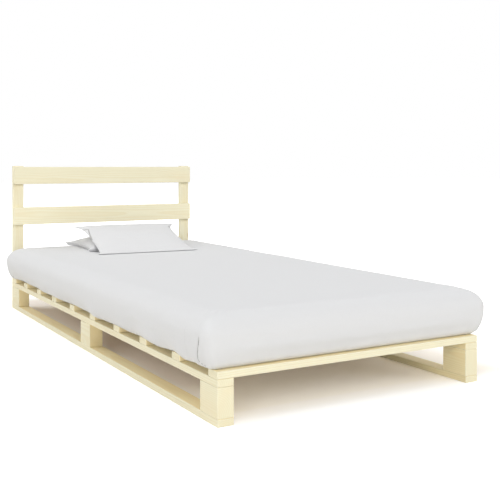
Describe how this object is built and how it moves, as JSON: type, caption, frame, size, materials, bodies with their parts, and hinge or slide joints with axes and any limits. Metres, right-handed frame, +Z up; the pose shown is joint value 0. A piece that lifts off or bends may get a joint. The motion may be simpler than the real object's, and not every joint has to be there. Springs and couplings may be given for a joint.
{
  "type": "pallet bed",
  "caption": "Single pallet bed: block skids carry cross slats, a mattress and pillows, with a slatted headboard on posts.",
  "frame": {"origin": "on the floor, under the middle of the bed's overall length and width", "axes": "+Y towards the headboard, +X to the right when looking from the foot to the head, +Z up"},
  "size_m": [0.978, 2.0462, 0.659],
  "materials": {
    "pine": "bare sawn and planed pine, matt",
    "zinc_plated_steel": "bright zinc plate",
    "mattress_cover": "white woven cotton, matt",
    "pillowcase": "white woven cotton, matt"
  },
  "bodies": {
    "root": {"left_bottom_board": "pine", "left_foot_block": "pine", "left_middle_block": "pine", "left_head_block": "pine", "left_stringer": "pine", "right_bottom_board": "pine", "right_foot_block": "pine", "right_middle_block": "pine", "right_head_block": "pine", "right_stringer": "pine", "slat_01": "pine", "slat_02": "pine", "slat_03": "pine", "slat_04": "pine", "slat_05": "pine", "slat_06": "pine", "slat_07": "pine", "slat_08": "pine", "slat_09": "pine", "slat_10": "pine", "left_headboard_post": "pine", "right_headboard_post": "pine", "upper_headboard_rail": "pine", "lower_headboard_rail": "pine", "slat_01_left_screw": "zinc_plated_steel", "slat_01_right_screw": "zinc_plated_steel", "slat_02_left_screw": "zinc_plated_steel", "slat_02_right_screw": "zinc_plated_steel", "slat_03_left_screw": "zinc_plated_steel", "slat_03_right_screw": "zinc_plated_steel", "slat_04_left_screw": "zinc_plated_steel", "slat_04_right_screw": "zinc_plated_steel", "slat_05_left_screw": "zinc_plated_steel", "slat_05_right_screw": "zinc_plated_steel", "slat_06_left_screw": "zinc_plated_steel", "slat_06_right_screw": "zinc_plated_steel", "slat_07_left_screw": "zinc_plated_steel", "slat_07_right_screw": "zinc_plated_steel", "slat_08_left_screw": "zinc_plated_steel", "slat_08_right_screw": "zinc_plated_steel", "slat_09_left_screw": "zinc_plated_steel", "slat_09_right_screw": "zinc_plated_steel", "slat_10_left_screw": "zinc_plated_steel", "slat_10_right_screw": "zinc_plated_steel", "upper_rail_left_screw_1": "zinc_plated_steel", "upper_rail_left_screw_2": "zinc_plated_steel", "upper_rail_right_screw_1": "zinc_plated_steel", "upper_rail_right_screw_2": "zinc_plated_steel", "lower_rail_left_screw_1": "zinc_plated_steel", "lower_rail_left_screw_2": "zinc_plated_steel", "lower_rail_right_screw_1": "zinc_plated_steel", "lower_rail_right_screw_2": "zinc_plated_steel", "left_post_coach_screw_1": "zinc_plated_steel", "left_post_coach_screw_2": "zinc_plated_steel", "right_post_coach_screw_1": "zinc_plated_steel", "right_post_coach_screw_2": "zinc_plated_steel", "mattress": "mattress_cover", "lower_pillow": "pillowcase", "upper_pillow": "pillowcase"}
  },
  "joints": []
}
